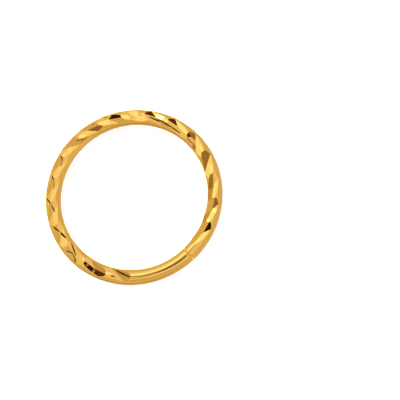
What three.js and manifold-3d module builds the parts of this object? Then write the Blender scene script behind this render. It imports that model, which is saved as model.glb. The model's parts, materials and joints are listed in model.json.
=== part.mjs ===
// A hollow gold hoop earring with a diamond-cut front, lying on its back.
// Millimetres, +Z up. The hoop is round the Z axis, and its back rests on Z = 0.
// Angles run counterclockwise from +X, as seen from the front.

import * as THREE from "three";
import { mergeVertices } from "three/addons/utils/BufferGeometryUtils.js";
import Module from "manifold-3d";

const wasm = await Module();
wasm.setup();

// The hoop.
const OUTER_DIAMETER = 20;
const TUBE_WIDTH = 1.8; // across the tube, in the plane of the hoop
const TUBE_HEIGHT = 1.76; // from the back to the front
const SECTION_POWER = 2.2; // 2 draws an ellipse, and a larger power a squarer tube
const SECTION_SIDES = 20;
const HOOP_SIDES = 105;
const CENTRE_RADIUS = (OUTER_DIAMETER - TUBE_WIDTH) / 2;
const MIDDLE_HEIGHT = TUBE_HEIGHT / 2;

// The hollow inside it. It sits a little towards the back, where the wall isn't cut.
const SIDE_WALL = 0.3;
const BORE_WIDTH = TUBE_WIDTH - 2 * SIDE_WALL;
const BORE_HEIGHT = 1.12;
const BORE_MIDDLE = 0.82; // its height over the back
const BORE_SIDES = 10;

// The plain stretch, which is drawn in a little, and the seam in it.
const PLAIN_MIDDLE = 293.5;
const PLAIN_HALF_LENGTH = 25.5;
const PLAIN_SCALE = 0.97;
const EASE_LENGTH = 16; // how long the tube takes to narrow
const SEAM_ANGLE = 313;
const SEAM_GAP = 0.06;

// The wire that closes the seam.
const PIN_DIAMETER = 0.76;
const PIN_LENGTH = 5.2;
const PIN_STEPS = 14;
const PIN_ARC_DIVISIONS = 6;

// The cuts. Each is a shallow V across the front, and each V is made twice: once falling towards the
// outside of the hoop and once towards the inside, so that a ridge runs lengthwise between the two.
const PLACES = 21; // round the whole hoop, with those in the plain stretch left uncut
const FIRST_PLACE = 4.8;
const LEAN = 39; // degrees between a cut and the way round the hoop
const RIDGE_OUTWARD = 0.05; // the lengthwise ridge is this far outside the tube's middle
const VALLEY_DEPTH = 0.15; // below the front of the tube
const CUTS = [
  // degrees
  { side: "outer", fall: 5, longSlope: 9, shortSlope: 10 },
  { side: "inner", fall: -8, longSlope: 14.5, shortSlope: 10 },
];
const BAR_HALF_WIDTH = 2.2;
const BAR_HEIGHT = 1.2;
const BAR_LENGTH = 5;

const { degToRad, smoothstep } = THREE.MathUtils;

// Degrees from one angle round to another, between -180 and 180.
function turnBetween(from, to) {
  return ((to - from + 540) % 360) - 180;
}

// A closed, nearly round profile with flat sides at its top, bottom, left and right.
function roundedSection(width, height, middleRadius, middleHeight, sides) {
  const step = (2 * Math.PI) / sides;
  const bend = 2 / SECTION_POWER;
  const reach = Math.cos(step / 2) ** bend;
  const points = [];
  for (let i = 0; i <= sides; i++) {
    const angle = ((i % sides) + 0.5) * step;
    const across = Math.sign(Math.cos(angle)) * Math.abs(Math.cos(angle)) ** bend;
    const up = Math.sign(Math.sin(angle)) * Math.abs(Math.sin(angle)) ** bend;
    points.push(
      new THREE.Vector2(
        middleRadius + (across / reach) * (width / 2),
        middleHeight + (up / reach) * (height / 2),
      ),
    );
  }
  return points;
}

// How thick the tube is at an angle: 1 where it is cut, and PLAIN_SCALE in the plain stretch.
function thicknessAt(angle) {
  const away = Math.abs(turnBetween(PLAIN_MIDDLE, angle));
  const cut = smoothstep(away, PLAIN_HALF_LENGTH - EASE_LENGTH, PLAIN_HALF_LENGTH);
  return PLAIN_SCALE + (1 - PLAIN_SCALE) * cut;
}

// A profile turned round the hoop's axis, and drawn in towards the tube's middle in the plain stretch.
function ringOf(profile) {
  const ring = new THREE.LatheGeometry(profile, HOOP_SIDES).rotateX(Math.PI / 2);
  const place = ring.getAttribute("position");
  const point = new THREE.Vector3();
  for (let i = 0; i < place.count; i++) {
    point.fromBufferAttribute(place, i);
    const angle = Math.atan2(point.y, point.x);
    const scale = thicknessAt(THREE.MathUtils.radToDeg(angle));
    const radius = CENTRE_RADIUS + (Math.hypot(point.x, point.y) - CENTRE_RADIUS) * scale;
    const height = MIDDLE_HEIGHT + (point.z - MIDDLE_HEIGHT) * scale;
    place.setXYZ(i, radius * Math.cos(angle), radius * Math.sin(angle), height);
  }
  return ring;
}

function solidOf(geometry) {
  const bare = geometry.clone();
  bare.deleteAttribute("normal");
  bare.deleteAttribute("uv");
  const merged = mergeVertices(bare);
  return new wasm.Manifold(
    new wasm.Mesh({
      numProp: 3,
      vertProperties: new Float32Array(merged.getAttribute("position").array),
      triVerts: new Uint32Array(merged.index.array),
    }),
  );
}

function geometryOf(solid) {
  const mesh = solid.getMesh();
  const geometry = new THREE.BufferGeometry();
  geometry.setAttribute("position", new THREE.BufferAttribute(mesh.vertProperties, 3));
  geometry.setIndex(new THREE.BufferAttribute(mesh.triVerts, 1));
  return geometry;
}

// One V-shaped cutting bar at angle 0, where +X points out of the hoop and +Y the way round it.
function cuttingBar({ fall, longSlope, shortSlope }) {
  const outline = new THREE.Shape([
    new THREE.Vector2(0, 0),
    new THREE.Vector2(BAR_HALF_WIDTH, BAR_HALF_WIDTH * Math.tan(degToRad(longSlope))),
    new THREE.Vector2(BAR_HALF_WIDTH, BAR_HEIGHT),
    new THREE.Vector2(-BAR_HALF_WIDTH, BAR_HEIGHT),
    new THREE.Vector2(-BAR_HALF_WIDTH, BAR_HALF_WIDTH * Math.tan(degToRad(shortSlope))),
  ]);
  const bar = new THREE.ExtrudeGeometry(outline, { depth: BAR_LENGTH, bevelEnabled: false });
  bar.translate(0, 0, -BAR_LENGTH / 2).rotateX(Math.PI / 2);
  bar.rotateZ(-degToRad(LEAN)).rotateY(degToRad(fall));
  return bar.translate(CENTRE_RADIUS + RIDGE_OUTWARD, 0, TUBE_HEIGHT - VALLEY_DEPTH);
}

// The tube: a ring less its hollow, its seam and its cuts.
function hoopTube() {
  let tube = solidOf(
    ringOf(roundedSection(TUBE_WIDTH, TUBE_HEIGHT, CENTRE_RADIUS, MIDDLE_HEIGHT, SECTION_SIDES)),
  );
  const bore = ringOf(roundedSection(BORE_WIDTH, BORE_HEIGHT, CENTRE_RADIUS, BORE_MIDDLE, BORE_SIDES));
  tube = tube.subtract(solidOf(bore));
  const seam = new THREE.BoxGeometry(2 * TUBE_WIDTH, SEAM_GAP, 2 * TUBE_HEIGHT);
  seam.translate(CENTRE_RADIUS, 0, MIDDLE_HEIGHT).rotateZ(degToRad(SEAM_ANGLE));
  tube = tube.subtract(solidOf(seam));
  for (let place = 0; place < PLACES; place++) {
    const angle = FIRST_PLACE + (place * 360) / PLACES;
    if (Math.abs(turnBetween(PLAIN_MIDDLE, angle)) < PLAIN_HALF_LENGTH) continue;
    for (const cut of CUTS) {
      tube = tube.subtract(solidOf(cuttingBar(cut).rotateZ(degToRad(angle))));
    }
  }
  return geometryOf(tube);
}

// The line along the middle of the tube's hollow, centred on the seam.
class BoreLine extends THREE.Curve {
  getPoint(share, target = new THREE.Vector3()) {
    const angle = degToRad(SEAM_ANGLE) + ((share - 0.5) * PIN_LENGTH) / CENTRE_RADIUS;
    const height = MIDDLE_HEIGHT + (BORE_MIDDLE - MIDDLE_HEIGHT) * PLAIN_SCALE;
    return target.set(CENTRE_RADIUS * Math.cos(angle), CENTRE_RADIUS * Math.sin(angle), height);
  }
}

function earPin() {
  const round = new THREE.Shape().absarc(0, 0, PIN_DIAMETER / 2, 0, 2 * Math.PI);
  return new THREE.ExtrudeGeometry(round, {
    extrudePath: new BoreLine(),
    steps: PIN_STEPS,
    curveSegments: PIN_ARC_DIVISIONS,
  });
}

function piece(name, geometry, finish) {
  const mesh = new THREE.Mesh(geometry, new THREE.MeshStandardMaterial(finish));
  mesh.name = name;
  return mesh;
}

const earring = new THREE.Group();
earring.add(
  piece("hoop_tube", hoopTube(), { color: 0xe8b34a, roughness: 0.08, metalness: 1 }),
  piece("ear_pin", earPin(), { color: 0xdda544, roughness: 0.2, metalness: 1 }),
);

export default earring;
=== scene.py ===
# %% [markdown]
# # A diamond-cut hoop earring
# A hollow gold hoop lies on its back on a white table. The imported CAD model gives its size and
# its place. Its solids are faceted, and polished gold shows every facet, so the hoop is made
# again here with a fine surface: the round of the tube reads as round, and only the diamond cuts
# are flat.

# %% Load the frame
import json
import math

import bpy
from mathutils import Matrix, Vector

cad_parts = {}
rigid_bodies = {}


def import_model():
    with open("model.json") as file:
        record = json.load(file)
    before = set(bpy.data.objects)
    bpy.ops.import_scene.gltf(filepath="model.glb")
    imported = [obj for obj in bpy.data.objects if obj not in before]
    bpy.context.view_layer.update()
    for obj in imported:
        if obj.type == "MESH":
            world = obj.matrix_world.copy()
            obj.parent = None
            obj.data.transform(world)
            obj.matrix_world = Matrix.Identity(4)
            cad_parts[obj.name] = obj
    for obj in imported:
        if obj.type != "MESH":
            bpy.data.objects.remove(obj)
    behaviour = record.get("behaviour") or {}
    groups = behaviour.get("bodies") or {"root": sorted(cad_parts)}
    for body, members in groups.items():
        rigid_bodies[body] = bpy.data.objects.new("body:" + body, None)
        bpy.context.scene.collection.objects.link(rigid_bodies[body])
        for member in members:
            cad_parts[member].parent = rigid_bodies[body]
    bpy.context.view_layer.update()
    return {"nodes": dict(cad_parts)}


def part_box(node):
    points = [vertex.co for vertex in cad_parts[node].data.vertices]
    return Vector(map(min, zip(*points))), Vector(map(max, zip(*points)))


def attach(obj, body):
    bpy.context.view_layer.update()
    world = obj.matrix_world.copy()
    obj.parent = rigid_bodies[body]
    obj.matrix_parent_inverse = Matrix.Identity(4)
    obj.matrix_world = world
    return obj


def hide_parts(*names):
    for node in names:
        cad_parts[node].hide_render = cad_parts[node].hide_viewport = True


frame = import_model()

MM = 0.001
_, hoop_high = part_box("hoop_tube")
OUTER_RADIUS = min(hoop_high.x, hoop_high.y)
TUBE_HEIGHT = hoop_high.z
print("hoop", round(2 * OUTER_RADIUS / MM, 2), "mm across and",
      round(TUBE_HEIGHT / MM, 2), "mm high")

# %% [markdown]
# Blender's operators act on whatever is selected, and a freshly loaded frame leaves things
# selected. Three small helpers keep that in order: one clears the selection, one selects the
# points whose place passes a test, and one applies a modifier, which only works on the active
# object.

# %% Helpers for selecting and applying
def start_fresh():
    if bpy.context.object and bpy.context.object.mode == "EDIT":
        bpy.ops.object.mode_set(mode="OBJECT")
    bpy.ops.object.select_all(action="DESELECT")


def select_points(piece, test):
    bpy.ops.object.mode_set(mode="EDIT")
    bpy.ops.mesh.select_mode(type="VERT")
    bpy.ops.mesh.select_all(action="DESELECT")
    bpy.ops.object.mode_set(mode="OBJECT")
    for point in piece.data.vertices:
        point.select = test(point.co)
    bpy.ops.object.mode_set(mode="EDIT")


def apply_modifier(piece, modifier):
    bpy.context.view_layer.objects.active = piece
    bpy.ops.object.mode_set(mode="OBJECT")
    bpy.ops.object.modifier_apply(modifier=modifier.name)

# %% [markdown]
# The tube is drawn from sheet and is nearly round, a touch fuller than a circle at its corners. A
# curve with a bevel would do for a round tube. Here the section is drawn as a square standing
# upright, and each corner is rounded with a point bevel that reaches half way along the sides:
# the bevel's profile then gives a superellipse, and one number says how full the section is.

# %% Draw the section of the tube
TUBE_WIDTH = 1.8 * MM
SECTION_POWER = 2.2
CENTRE_RADIUS = OUTER_RADIUS - TUBE_WIDTH / 2
STEPS_A_QUARTER = 16
HALF_A_SIDE = 50  # per cent
MERGE = 0.001 * MM

start_fresh()
bpy.ops.mesh.primitive_plane_add(
    size=TUBE_WIDTH,
    location=(CENTRE_RADIUS, 0, TUBE_HEIGHT / 2),
    rotation=(math.pi / 2, 0, 0),
)
tube = bpy.context.object
tube.name = "hoop_tube_polished"
bpy.ops.object.transform_apply(location=False, rotation=True, scale=True)
bpy.ops.object.mode_set(mode="EDIT")
bpy.ops.mesh.select_all(action="SELECT")
bpy.ops.transform.resize(value=(1, 1, TUBE_HEIGHT / TUBE_WIDTH))
bpy.ops.mesh.bevel(
    affect="VERTICES",
    offset_type="PERCENT",
    offset_pct=HALF_A_SIDE,
    segments=STEPS_A_QUARTER,
    profile=2 ** (-2 / SECTION_POWER),
)
bpy.ops.mesh.select_all(action="SELECT")
bpy.ops.mesh.remove_doubles(threshold=MERGE)
bpy.ops.mesh.delete(type="ONLY_FACE")
bpy.ops.object.mode_set(mode="OBJECT")
bpy.ops.object.transform_apply(location=True)
print("section of", len(tube.data.vertices), "points,", [round(v / MM, 3) for v in tube.dimensions])

# %% [markdown]
# The real tube is bent round until its two ends nearly meet, and the ear pin runs through the
# seam between them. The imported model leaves 0.06 mm there, which lets the white table show
# through. The ends of a closed hoop all but touch, so here the seam is a third as wide and shows
# as a fine line. Spinning the section about the hoop's axis bends it in one go. The spin starts
# at one side of the seam and stops at the other.

# %% Bend it round
SEAM_ANGLE = math.radians(313)
SEAM_GAP = 0.02 * MM
SPIN_STEPS = 540
seam_turn = SEAM_GAP / CENTRE_RADIUS

tube.rotation_euler.z = SEAM_ANGLE + seam_turn / 2
bpy.ops.object.transform_apply(rotation=True)
bpy.ops.object.mode_set(mode="EDIT")
bpy.ops.mesh.select_all(action="SELECT")
bpy.ops.mesh.spin(
    steps=SPIN_STEPS, angle=-(2 * math.pi - seam_turn), center=(0, 0, 0), axis=(0, 0, 1)
)
bpy.ops.mesh.select_all(action="SELECT")
bpy.ops.mesh.normals_make_consistent(inside=False)
bpy.ops.object.mode_set(mode="OBJECT")


def turn_between(start, end):
    return (end - start + math.pi) % (2 * math.pi) - math.pi


nearest = [turn_between(SEAM_ANGLE, math.atan2(v.co.y, v.co.x)) for v in tube.data.vertices]
print("bent tube of", len(tube.data.polygons), "faces,",
      [round(v / MM, 3) for v in tube.dimensions])
print("its ends lie", round(max(a for a in nearest if a < 0) * CENTRE_RADIUS / MM, 3), "and",
      round(min(a for a in nearest if a > 0) * CENTRE_RADIUS / MM, 3), "mm from the seam")

# %% [markdown]
# A stretch beside the seam is left plain, and it is drawn in a little, as the tube is where its
# ends are closed. A vertex group says how much of the drawing-in each point takes, from none to
# all over a smooth ease, and a Displace modifier then moves the skin inwards by that share.

# %% Draw in the plain stretch
PLAIN_MIDDLE = math.radians(293.5)
PLAIN_HALF_LENGTH = math.radians(25.5)
EASE_LENGTH = math.radians(16)
PLAIN_SCALE = 0.97


def plainness(point):
    away = abs(turn_between(PLAIN_MIDDLE, math.atan2(point.y, point.x)))
    share = min(max((PLAIN_HALF_LENGTH - away) / EASE_LENGTH, 0), 1)
    return share * share * (3 - 2 * share)


group = tube.vertex_groups.new(name="plain_stretch")
for v in tube.data.vertices:
    if plainness(v.co) > 0:
        group.add([v.index], plainness(v.co), "REPLACE")
drawn = tube.modifiers.new("drawn_in", "DISPLACE")
drawn.strength = -(1 - PLAIN_SCALE) * TUBE_WIDTH / 2
drawn.mid_level = 0
drawn.vertex_group = group.name
apply_modifier(tube, drawn)
print("tube in the plain stretch", round(TUBE_WIDTH * PLAIN_SCALE / MM, 3), "mm thick")

# %% [markdown]
# The hoop is hollow, with a wall of 0.3 mm. Solidify gives the skin that thickness inwards and
# closes the two ends with rims, so the bore stays open at the seam. It comes before the cuts,
# because the cuts go into the wall from the outside only.

# %% Give it a wall
WALL = 0.3 * MM

wall = tube.modifiers.new("wall", "SOLIDIFY")
wall.thickness = WALL
wall.offset = -1
apply_modifier(tube, wall)
print("walled tube of", len(tube.data.polygons), "faces")

# %% [markdown]
# A diamond tool cuts a row of shallow Vs across the front. Each V is cut twice, once falling
# towards the outside of the hoop and once towards the inside, which leaves a ridge lengthwise
# between the two. A boolean with a bar of that shape makes true flats with sharp edges. One bar
# starts as a cube, is split down the middle of its underside, and its two lower edges are lifted
# to the slopes of the V.

# %% Shape a cutting bar for each side
LEAN = math.radians(39)
BAR_HALF_WIDTH = 2.2 * MM
BAR_HEIGHT = 1.2 * MM
BAR_LENGTH = 5 * MM
CUTS = {  # degrees
    "outer": {"fall": 5, "long_slope": 9, "short_slope": 10},
    "inner": {"fall": -8, "long_slope": 14.5, "short_slope": 10},
}

wall_gold = bpy.data.materials.new("mirror_gold")
cut_gold = bpy.data.materials.new("diamond_cut_gold")
tube.data.materials.append(wall_gold)
tube.data.materials.append(cut_gold)


def lift_lower_edge(bar, side, slope):
    select_points(bar, lambda at: at.z < BAR_HEIGHT / 2 and side * at.x > BAR_HALF_WIDTH / 2)
    bpy.ops.transform.translate(value=(0, 0, BAR_HALF_WIDTH * math.tan(math.radians(slope))))
    bpy.ops.object.mode_set(mode="OBJECT")


bars = {}
for name, angles in CUTS.items():
    start_fresh()
    bpy.ops.mesh.primitive_cube_add(
        size=1, location=(0, 0, BAR_HEIGHT / 2), scale=(2 * BAR_HALF_WIDTH, BAR_LENGTH, BAR_HEIGHT)
    )
    bar = bpy.context.object
    bpy.ops.object.transform_apply(location=True, rotation=True, scale=True)
    bpy.ops.object.mode_set(mode="EDIT")
    bpy.ops.mesh.select_all(action="SELECT")
    bpy.ops.mesh.bisect(plane_co=(0, 0, 0), plane_no=(1, 0, 0))
    lift_lower_edge(bar, 1, angles["long_slope"])
    lift_lower_edge(bar, -1, angles["short_slope"])
    bar.data.materials.append(cut_gold)
    bars[name] = bar
    print(name, "bar:", len(bar.data.polygons), "faces")

# %% [markdown]
# A tool is modelled once, and a copy of it is put at each place where it cuts. All the copies
# stand in one collection, so a single boolean takes them all away from the tube. Their faces
# carry a gold of their own, which the boolean leaves on every face that it makes.

# %% Helpers for cutting
cutters = bpy.data.collections.new("cutters")
bpy.context.scene.collection.children.link(cutters)


def put_cutter(tool, placing):
    copy = tool.copy()
    copy.data = tool.data.copy()
    copy.data.transform(placing)
    cutters.objects.link(copy)


def cut_away(piece):
    cut = piece.modifiers.new("cut", "BOOLEAN")
    cut.operand_type = "COLLECTION"
    cut.collection = cutters
    cut.operation = "DIFFERENCE"
    cut.solver = "MANIFOLD"
    apply_modifier(piece, cut)
    for used in list(cutters.objects):
        bpy.data.objects.remove(used)

# %% [markdown]
# The hoop is indexed round under the tool in even steps, and the steps that fall in the plain
# stretch are skipped. Each cut gets its own copy of the bar, turned to its lean and fall.

# %% Cut the flats
PLACES = 21
FIRST_PLACE = math.radians(4.8)
VALLEY_DEPTH = 0.15 * MM
RIDGE_OUTWARD = 0.05 * MM

for place in range(PLACES):
    angle = FIRST_PLACE + place * 2 * math.pi / PLACES
    if abs(turn_between(PLAIN_MIDDLE, angle)) < PLAIN_HALF_LENGTH:
        continue
    for name, bar in bars.items():
        put_cutter(
            bar,
            Matrix.Rotation(angle, 4, "Z")
            @ Matrix.Translation((CENTRE_RADIUS + RIDGE_OUTWARD, 0, TUBE_HEIGHT - VALLEY_DEPTH))
            @ Matrix.Rotation(math.radians(CUTS[name]["fall"]), 4, "Y")
            @ Matrix.Rotation(-LEAN, 4, "Z"),
        )
cut_away(tube)
for bar in bars.values():
    bpy.data.objects.remove(bar)

CUT_SLOT = [slot.material for slot in tube.material_slots].index(cut_gold)
for face in tube.data.polygons:
    face.use_smooth = face.material_index != CUT_SLOT
print("flats", sum(face.material_index == CUT_SLOT for face in tube.data.polygons))

# %% [markdown]
# Fine lines run across some ridges and along the feet of some cuts, as if the diamond
# skipped there. Each is made as a nick, cut with a four-sided spindle, so it is deepest in its
# middle and fades at its ends. The nicks look dark because their gold is painted dark: painted
# shade for these fine creases. A ray cast straight down finds the surface and its slope at the
# middle of the nick, and the spindle lies along them. A long spindle therefore runs in under the
# next ridge, where it leaves a small pocket close over the hollow. Lines drawn in a material would
# look the same from straight above, but nicks also catch the light from the side. The cut leaves a
# few slivers, which are dissolved.

# %% Cut the fine tool lines
TOOL_LINES = [
    # degrees round the hoop, mm outside the tube's middle,
    # degrees out from the way round, mm long, mm wide
    (43, -0.38, 0, 1.5, 0.10),
    (57, -0.40, 3, 2.2, 0.15),
    (64, -0.33, 8, 3.0, 0.18),
    (71, -0.25, 4, 2.5, 0.20),
    (131, -0.56, -3, 1.4, 0.10),
    (134, -0.22, 32, 1.5, 0.09),
    (151, 0.13, -50, 1.2, 0.12),
    (155, -0.20, -8, 1.2, 0.09),
    (167, 0.10, -31, 1.6, 0.18),
    (172, -0.18, -8, 1.1, 0.09),
    (184, 0.18, -37, 1.4, 0.18),
    (189, -0.17, -19, 1.4, 0.15),
    (203, 0.18, -30, 1.7, 0.18),
    (209, -0.24, -17, 1.5, 0.25),
    (222, 0.27, -28, 1.3, 0.14),
    (228, 0.24, 20, 1.3, 0.09),
    (224, -0.29, 22, 1.9, 0.18),
    (258, 0.20, 0, 0.6, 0.15),
    (265, -0.18, 22, 2.1, 0.20),
]
NICK_DEPTH = 0.35  # of its width
SPINDLE_SIDES = 4
SLIVER = MERGE / 4
SWEEPS = 2  # the second takes what the first leaves

line_gold = bpy.data.materials.new("tool_line_shaded_gold")
start_fresh()
bpy.ops.mesh.primitive_uv_sphere_add(
    segments=SPINDLE_SIDES, ring_count=SPINDLE_SIDES,
    radius=0.5, location=(0, 0, 0), rotation=(0, math.pi / 2, 0),
)
spindle = bpy.context.object
bpy.ops.object.transform_apply(location=True, rotation=True, scale=True)
spindle.data.materials.append(line_gold)
tube.data.materials.append(line_gold)

for degrees, outside, turn, length, width in TOOL_LINES:
    angle = math.radians(degrees)
    radius = CENTRE_RADIUS + outside * MM
    above = Vector((radius * math.cos(angle), radius * math.sin(angle), 2 * TUBE_HEIGHT))
    _, place, slope, _ = tube.ray_cast(above, Vector((0, 0, -1)))
    way = angle + math.pi / 2 - math.radians(turn)
    along = Vector((math.cos(way), math.sin(way), 0))
    along = (along - along.dot(slope) * slope).normalized()
    turned = Matrix((along, slope.cross(along), slope)).transposed().to_4x4()
    size = Matrix.Diagonal((length * MM, width * MM, 2 * NICK_DEPTH * width * MM, 1))
    put_cutter(spindle, Matrix.Translation(place) @ turned @ size)
cut_away(tube)
bpy.data.objects.remove(spindle)
bpy.data.collections.remove(cutters)

bpy.ops.object.mode_set(mode="EDIT")
for _ in range(SWEEPS):
    bpy.ops.mesh.select_all(action="SELECT")
    bpy.ops.mesh.dissolve_degenerate(threshold=SLIVER)
bpy.ops.object.mode_set(mode="OBJECT")

LINE_SLOT = [slot.material for slot in tube.material_slots].index(line_gold)
for face in tube.data.polygons:
    face.use_smooth = face.material_index not in (CUT_SLOT, LINE_SLOT)
print("tool lines", len(TOOL_LINES), "and", len(tube.data.polygons), "faces in all")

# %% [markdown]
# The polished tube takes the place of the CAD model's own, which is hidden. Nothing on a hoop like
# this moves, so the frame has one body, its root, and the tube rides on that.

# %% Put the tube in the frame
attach(tube, "root")
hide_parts("hoop_tube")

# %% [markdown]
# Polish marks follow the metal, so the surface needs its own map. On the wall the map runs once
# round the hoop one way and round the tube the other, and the nicks share it. On a flat it runs
# along the cut and across it. Both are in millimetres, so a pattern keeps its real size on
# either.

# %% Lay out the surface
MIDDLE_HEIGHT = TUBE_HEIGHT / 2


def wall_place(point):
    out = math.hypot(point.x, point.y) - CENTRE_RADIUS
    round_hoop = math.atan2(point.y, point.x) * CENTRE_RADIUS
    round_tube = math.atan2(point.z - MIDDLE_HEIGHT, out) * TUBE_WIDTH / 2
    return Vector((round_hoop, round_tube)) / MM


def cut_place(point, face):
    way = math.atan2(face.center.y, face.center.x) + math.pi / 2 - LEAN
    along = point.x * math.cos(way) + point.y * math.sin(way)
    across = -point.x * math.sin(way) + point.y * math.cos(way)
    return Vector((along, across)) / MM


layout = tube.data.uv_layers.new(name="way_of_the_metal")
for face in tube.data.polygons:
    for corner in face.loop_indices:
        point = tube.data.vertices[tube.data.loops[corner].vertex_index].co
        is_cut = face.material_index == CUT_SLOT
        layout.data[corner].uv = cut_place(point, face) if is_cut else wall_place(point)
print("mapped", len(layout.data), "corners")

# %% [markdown]
# A finish is made of small effects that several materials share. Each is a shader node group with
# named inputs and outputs, built once. These helpers keep the building short: they add a node and
# set it up, join an output to an input, and start a group with its sockets.

# %% Helpers for building with nodes
FLOAT, VECTOR = "NodeSocketFloat", "NodeSocketVector"
MIX_FIRST, MIX_SECOND, MIX_RESULT = 6, 7, 2  # a colour Mix node's sockets


def add_node(tree, kind, inputs=None, **settings):
    node = tree.nodes.new(kind)
    for setting, value in settings.items():
        setattr(node, setting, value)
    for socket, value in (inputs or {}).items():
        node.inputs[socket].default_value = value
    return node


def calculate(tree, kind, operation, *values):
    node = add_node(tree, kind, operation=operation)
    for socket, value in zip(node.inputs, values):
        if isinstance(value, bpy.types.NodeSocket):
            tree.links.new(value, socket)
        else:
            socket.default_value = value
    return node.outputs["Value"] if operation == "DOT_PRODUCT" else node.outputs[0]


def new_group(name, inputs, outputs):
    group = bpy.data.node_groups.new(name, "ShaderNodeTree")
    for socket, kind in inputs.items():
        group.interface.new_socket(name=socket, in_out="INPUT", socket_type=kind)
    for socket, kind in outputs.items():
        group.interface.new_socket(name=socket, in_out="OUTPUT", socket_type=kind)
    given = group.nodes.new("NodeGroupInput").outputs
    result = group.nodes.new("NodeGroupOutput").inputs
    return group, given, result

# %% [markdown]
# Polished gold is a mirror, but never a perfect one. Buffing leaves broad soft waves, which bend
# the reflections a little, and the tool or the cloth leaves fine lines that run one way. This
# group makes the waves from noise in the metal itself, and the lines from noise that is stretched
# along one direction of the surface map. It puts out a height for a bump and a haze that follows
# the lines.

# %% Build the polish marks
MATH, VECTOR_MATH = "ShaderNodeMath", "ShaderNodeVectorMath"
WAVE_NOISE = {"Scale": 1, "Detail": 1.5, "Roughness": 0.4}
LINE_NOISE = {"Scale": 1, "Detail": 3, "Roughness": 0.6}

polish, given, result = new_group(
    "polish_marks",
    {
        "Place": VECTOR, "Map": VECTOR, "Wave Size": FLOAT, "Wave Height": FLOAT,
        "Line Length": FLOAT, "Line Spacing": FLOAT, "Line Height": FLOAT,
        "Smoothest": FLOAT, "Haze": FLOAT,
    },
    {"Height": FLOAT, "Roughness": FLOAT, "Wave": FLOAT},
)
line_size = add_node(polish, "ShaderNodeCombineXYZ", {"Z": 1})
polish.links.new(given["Line Length"], line_size.inputs["X"])
polish.links.new(given["Line Spacing"], line_size.inputs["Y"])
waves = add_node(polish, "ShaderNodeTexNoise", WAVE_NOISE)
lines = add_node(polish, "ShaderNodeTexNoise", LINE_NOISE)
for noise, place, size in (
    (waves, given["Place"], given["Wave Size"]),
    (lines, given["Map"], line_size.outputs["Vector"]),
):
    polish.links.new(calculate(polish, VECTOR_MATH, "DIVIDE", place, size), noise.inputs["Vector"])

wave, line = waves.outputs["Fac"], lines.outputs["Fac"]
wave_height = calculate(polish, MATH, "MULTIPLY", wave, given["Wave Height"])
height = calculate(polish, MATH, "MULTIPLY_ADD", line, given["Line Height"], wave_height)
roughness = calculate(polish, MATH, "MULTIPLY_ADD", line, given["Haze"], given["Smoothest"])
polish.links.new(height, result["Height"])
polish.links.new(roughness, result["Roughness"])
polish.links.new(wave, result["Wave"])
print("polish marks of", len(polish.nodes), "nodes")

# %% [markdown]
# Gold has no paint on it: its colour is the colour of its mirror. So each gold here is a metallic
# Principled shader, with the marks in its roughness and its bump, and two close shades of gold
# that follow the waves, as worked metal shows. What differs from finish to finish is the numbers:
# the wall is buffed with a cloth, the flats keep the lines of the diamond, and the wire is drawn.
# The nicks are too fine for the cloth to reach, so they are dull, and their gold is painted dark
# as painted shade for the fine creases.

# %% Dress the golds
PALE_GOLD = (0.98, 0.61, 0.145, 1)
DEEP_GOLD = (0.97, 0.58, 0.13, 1)
# painted shade: the nicks' two dark golds stand for the shade in these fine creases
NICK_SHADE_GOLD = (0.20, 0.09, 0.02, 1)
NICK_DEEP_SHADE_GOLD = (0.10, 0.04, 0.01, 1)
IN_MM = (1 / MM, 1 / MM, 1 / MM)


def dress_gold(material, has_map, shades, marks):
    material.use_nodes = True
    tree = material.node_tree
    shader = tree.nodes["Principled BSDF"]
    shader.inputs["Metallic"].default_value = 1
    where = add_node(tree, "ShaderNodeTexCoord")
    place = calculate(tree, VECTOR_MATH, "MULTIPLY", where.outputs["Object"], IN_MM)
    effect = add_node(tree, "ShaderNodeGroup", node_tree=polish)
    for socket, value in marks.items():
        effect.inputs[socket].default_value = value
    tree.links.new(place, effect.inputs["Place"])
    tree.links.new(where.outputs["UV"] if has_map else place, effect.inputs["Map"])
    tree.links.new(effect.outputs["Roughness"], shader.inputs["Roughness"])
    shade = add_node(tree, "ShaderNodeMix", data_type="RGBA")
    shade.inputs[MIX_FIRST].default_value, shade.inputs[MIX_SECOND].default_value = shades
    tree.links.new(effect.outputs["Wave"], shade.inputs["Factor"])
    tree.links.new(shade.outputs[MIX_RESULT], shader.inputs["Base Color"])
    bump = add_node(tree, "ShaderNodeBump", {"Strength": 1, "Distance": MM})
    tree.links.new(effect.outputs["Height"], bump.inputs["Height"])
    tree.links.new(bump.outputs["Normal"], shader.inputs["Normal"])
    print(material.name, marks)


dress_gold(wall_gold, True, (PALE_GOLD, DEEP_GOLD), {
    "Wave Size": 1.2, "Wave Height": 0.012,
    "Line Length": 2.5, "Line Spacing": 0.09, "Line Height": 0.0004,
    "Smoothest": 0.02, "Haze": 0.04,
})
dress_gold(cut_gold, True, (PALE_GOLD, DEEP_GOLD), {
    "Wave Size": 1.6, "Wave Height": 0.018,
    "Line Length": 3, "Line Spacing": 0.05, "Line Height": 0.0003,
    "Smoothest": 0.01, "Haze": 0.03,
})
# the nicks: a dark gold as painted shade in the crease, and a duller finish
dress_gold(line_gold, True, (NICK_SHADE_GOLD, NICK_DEEP_SHADE_GOLD), {
    "Wave Size": 0.1, "Wave Height": 0.002,
    "Line Length": 0.2, "Line Spacing": 0.03, "Line Height": 0.001,
    "Smoothest": 0.3, "Haze": 0.3,
})

# %% [markdown]
# The ear pin is the only piece of the CAD model that is shown as it is: a plain drawn wire, seen
# through the hairline of the seam. It keeps its mesh and gets a gold of its own in its material
# slot. It has no surface map, so its lines follow the object's own coordinates.

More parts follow.
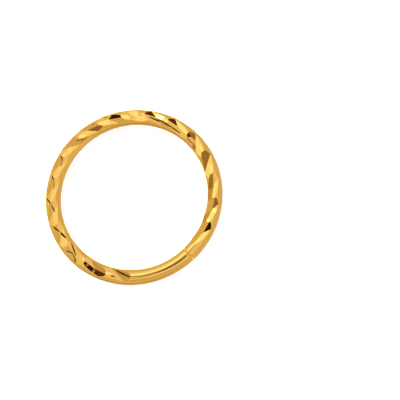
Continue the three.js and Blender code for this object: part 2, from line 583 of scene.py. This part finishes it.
# %% Dress the ear pin
wire_gold = bpy.data.materials.new("drawn_wire_gold")
dress_gold(wire_gold, False, (PALE_GOLD, DEEP_GOLD), {
    "Wave Size": 1.2, "Wave Height": 0.01,
    "Line Length": 2, "Line Spacing": 0.06, "Line Height": 0.001,
    "Smoothest": 0.12, "Haze": 0.12,
})
pin = frame["nodes"]["ear_pin"]
for slot in pin.material_slots:
    slot.material = wire_gold
print("ear pin", [round(v / MM, 2) for v in pin.dimensions], "mm")

# %% [markdown]
# The table is a plain white sheet. Jewellery is often shown on white with hardly a shadow. The
# sheet is therefore grey, so that a shadow hardly shows on it, and gives off light of its own
# until it is white. Left visible to the gold, so bright a sheet would wash out the sides of the
# tube, so the metal's reflections skip it.

# %% Lay the table
TABLE_WIDTH = 2.0
SHEET_GREY = (0.35, 0.35, 0.35, 1)
SHEET_ROUGHNESS = 0.6
TABLE_LIGHT = (1, 1, 1, 1)
TABLE_GLOW = 0.75

start_fresh()
bpy.ops.mesh.primitive_plane_add(size=TABLE_WIDTH, location=(0, 0, 0))
table = bpy.context.object
table.name = "table"
white = bpy.data.materials.new("white_sheet")
white.use_nodes = True
sheet = white.node_tree.nodes["Principled BSDF"]
sheet.inputs["Base Color"].default_value = SHEET_GREY
sheet.inputs["Roughness"].default_value = SHEET_ROUGHNESS
sheet.inputs["Emission Color"].default_value = TABLE_LIGHT
sheet.inputs["Emission Strength"].default_value = TABLE_GLOW
table.data.materials.append(white)
table.visible_glossy = False
print("table", TABLE_WIDTH, "m wide")

# %% [markdown]
# A mirror shows only what stands round it, so lighting polished metal means building its
# surroundings. A jeweller's light tent is pale all round, and cards and openings in it give the
# flats their tones: broad grey ones for depth, narrow dark ones for contrast, and small white
# ones for the glints. The small ones, and some of the broad ones, stand just where one flat or a
# few are turned, so they suit this camera best. They could be real planes, but here each card is
# an oval in the sky, put by the direction it stands in. One node group lays a card on what is
# behind it, and a short table places them.

# %% Build the card
card, given, result = new_group(
    "card",
    {
        "Behind": FLOAT, "Direction": VECTOR, "Middle": VECTOR, "Side": VECTOR, "Up": VECTOR,
        "Softness": FLOAT, "Tone": FLOAT,
    },
    {"Tone": FLOAT},
)
sideways = calculate(card, VECTOR_MATH, "DOT_PRODUCT", given["Direction"], given["Side"])
upwards = calculate(card, VECTOR_MATH, "DOT_PRODUCT", given["Direction"], given["Up"])
ahead = calculate(card, VECTOR_MATH, "DOT_PRODUCT", given["Direction"], given["Middle"])
upwards_squared = calculate(card, MATH, "MULTIPLY", upwards, upwards)
reach = calculate(card, MATH, "MULTIPLY_ADD", sideways, sideways, upwards_squared)
edge = add_node(
    card, "ShaderNodeMapRange", {"To Min": 1, "To Max": 0}, interpolation_type="SMOOTHSTEP"
)
card.links.new(reach, edge.inputs["Value"])
card.links.new(calculate(card, MATH, "SUBTRACT", 1, given["Softness"]), edge.inputs["From Min"])
card.links.new(calculate(card, MATH, "ADD", 1, given["Softness"]), edge.inputs["From Max"])
in_front = calculate(card, MATH, "GREATER_THAN", ahead, 0)
cover = calculate(card, MATH, "MULTIPLY", edge.outputs["Result"], in_front)
laid = add_node(card, "ShaderNodeMix", data_type="FLOAT")
card.links.new(cover, laid.inputs["Factor"])
card.links.new(given["Behind"], laid.inputs["A"])
card.links.new(given["Tone"], laid.inputs["B"])
card.links.new(laid.outputs["Result"], result["Tone"])

# %% Stand the cards round the hoop
TENT = 0.70  # the tone where no card stands
ABOVE, BELOW = 1, -1
CARDS = [
    # tone, x and y of its direction seen from above, side of the hoop,
    # half width and half height, degrees it is turned, softness of its edge
    (0.87, 0.00, 0.00, ABOVE, 0.78, 0.78, 0, 0.15),
    (2.80, -0.57, 0.48, BELOW, 0.66, 0.62, 50, 0.05),
    (0.56, -0.30, -0.81, BELOW, 0.80, 0.35, -20, 0.3),
    (0.60, 0.02, -0.76, ABOVE, 0.45, 0.15, 0, 0.2),
    (1.08, -0.76, 0.18, ABOVE, 0.11, 0.20, 0, 0.3),
    (1.10, 0.00, -0.50, ABOVE, 0.22, 0.055, 0, 0.3),
    (1.10, -0.47, -0.33, ABOVE, 0.08, 0.06, -25, 0.3),
    (0.55, -0.66, 0.51, ABOVE, 0.10, 0.14, -30, 0.3),
    (0.66, -0.11, -0.39, ABOVE, 0.27, 0.07, 0, 0.3),
    (0.62, -0.54, -0.20, ABOVE, 0.12, 0.05, -15, 0.3),
    (0.68, -0.20, 0.06, ABOVE, 0.25, 0.10, -15, 0.3),
    (0.55, -0.41, 0.20, ABOVE, 0.04, 0.08, 0, 0.3),
    (1.02, -0.16, 0.38, ABOVE, 0.24, 0.13, 0, 0.2),
    (1.22, -0.18, 0.27, ABOVE, 0.195, 0.16, 0, 0.04),
    (0.34, -0.04, 0.055, ABOVE, 0.07, 0.035, 38, 0.3),
    (0.28, -0.11, -0.41, ABOVE, 0.07, 0.05, 0, 0.3),
    (0.30, 0.26, -0.07, ABOVE, 0.07, 0.06, 60, 0.3),
    (0.33, 0.345, 0.30, ABOVE, 0.17, 0.038, 102, 0.3),
    (0.09, 0.19, 0.57, ABOVE, 0.13, 0.045, -45, 0.3),
    (0.03, -0.01, -0.135, ABOVE, 0.20, 0.065, -35, 0.3),
    (0.03, 0.13, -0.22, ABOVE, 0.05, 0.05, 0, 0.3),
    (0.10, -0.58, -0.13, ABOVE, 0.05, 0.04, 0, 0.6),
    (0.03, -0.335, 0.178, ABOVE, 0.025, 0.025, 0, 0.3),
    (0.03, -0.015, 0.135, ABOVE, 0.025, 0.020, 0, 0.3),
    (2.00, -0.155, 0.40, ABOVE, 0.018, 0.018, 0, 0.4),
    (3.00, -0.360, 0.308, ABOVE, 0.010, 0.010, 0, 0.3),
]

world = bpy.data.worlds.new("light_tent")
bpy.context.scene.world = world
world.use_nodes = True
sky = world.node_tree
sky.nodes.clear()
look = add_node(sky, "ShaderNodeTexCoord").outputs["Generated"]
tone = TENT
for card_tone, x, y, side_of_hoop, half_width, half_height, turn, softness in CARDS:
    middle = Vector((x, y, side_of_hoop * math.sqrt(1 - x * x - y * y)))
    side = Vector((math.cos(math.radians(turn)), math.sin(math.radians(turn)), 0))
    side = (side - side.dot(middle) * middle).normalized()
    laid = add_node(sky, "ShaderNodeGroup", node_tree=card)
    laid.inputs["Middle"].default_value = middle
    laid.inputs["Side"].default_value = side / half_width
    laid.inputs["Up"].default_value = middle.cross(side) / half_height
    laid.inputs["Softness"].default_value = softness
    laid.inputs["Tone"].default_value = card_tone
    sky.links.new(look, laid.inputs["Direction"])
    if isinstance(tone, float):
        laid.inputs["Behind"].default_value = tone
    else:
        sky.links.new(tone, laid.inputs["Behind"])
    tone = laid.outputs["Tone"]
print("tent with", len(CARDS), "cards")

# %% [markdown]
# What gold reflects twice comes back redder, so dark places round a gold piece look warm. The
# tone of the tent is therefore turned into a colour that gets warmer as it gets darker. Only the
# mirror of the gold sees the cards. The table and the camera see a plain pale room, whose soft
# light is even.

# %% Colour the tent
WARMTH = {"Red": 1.0, "Green": 1.35, "Blue": 1.7}
ROOM = (0.95, 0.95, 0.95, 1)

colour = add_node(sky, "ShaderNodeCombineColor")
for channel, power in WARMTH.items():
    sky.links.new(calculate(sky, MATH, "POWER", tone, power), colour.inputs[channel])
seen = add_node(sky, "ShaderNodeMix", data_type="RGBA")
sky.links.new(add_node(sky, "ShaderNodeLightPath").outputs["Is Glossy Ray"], seen.inputs["Factor"])
seen.inputs[MIX_FIRST].default_value = ROOM
sky.links.new(colour.outputs["Color"], seen.inputs[MIX_SECOND])
background = add_node(sky, "ShaderNodeBackground")
sky.links.new(seen.outputs[MIX_RESULT], background.inputs["Color"])
sky.links.new(background.outputs[0], add_node(sky, "ShaderNodeOutputWorld").inputs["Surface"])
print("tent coloured")

# %% [markdown]
# The camera stands close over the hoop, almost straight above it and a little to one side. Its
# place is worked out from the direction it looks in and from how far it is, and the hoop stands
# left of the middle of the picture.

# %% Set the camera
VIEW_AZIMUTH = math.radians(-61.5)
VIEW_ELEVATION = math.radians(75.03)
VIEW_DISTANCE = 110.9 * MM
HOOP_LEFT = 7.44 * MM
HOOP_UP = 0.48 * MM
LENS = 90

hoop_middle = Vector((0, 0, MIDDLE_HEIGHT))
backward = Vector((
    math.cos(VIEW_ELEVATION) * math.cos(VIEW_AZIMUTH),
    math.cos(VIEW_ELEVATION) * math.sin(VIEW_AZIMUTH),
    math.sin(VIEW_ELEVATION),
))
hoop_up = Vector((0, 1, 0))
level = hoop_up.cross(backward).normalized()
upward = backward.cross(level)
stand = hoop_middle + VIEW_DISTANCE * backward + HOOP_LEFT * level - HOOP_UP * upward
camera_data = bpy.data.cameras.new("camera")
camera_data.lens = LENS
camera = bpy.data.objects.new("camera", camera_data)
bpy.context.scene.collection.objects.link(camera)
turned = Matrix((level, upward, backward)).transposed().to_4x4()
camera.matrix_world = Matrix.Translation(stand) @ turned
bpy.context.scene.camera = camera
bpy.context.scene.view_settings.view_transform = "Standard"
print("camera at", [round(v / MM, 1) for v in stand], "mm")
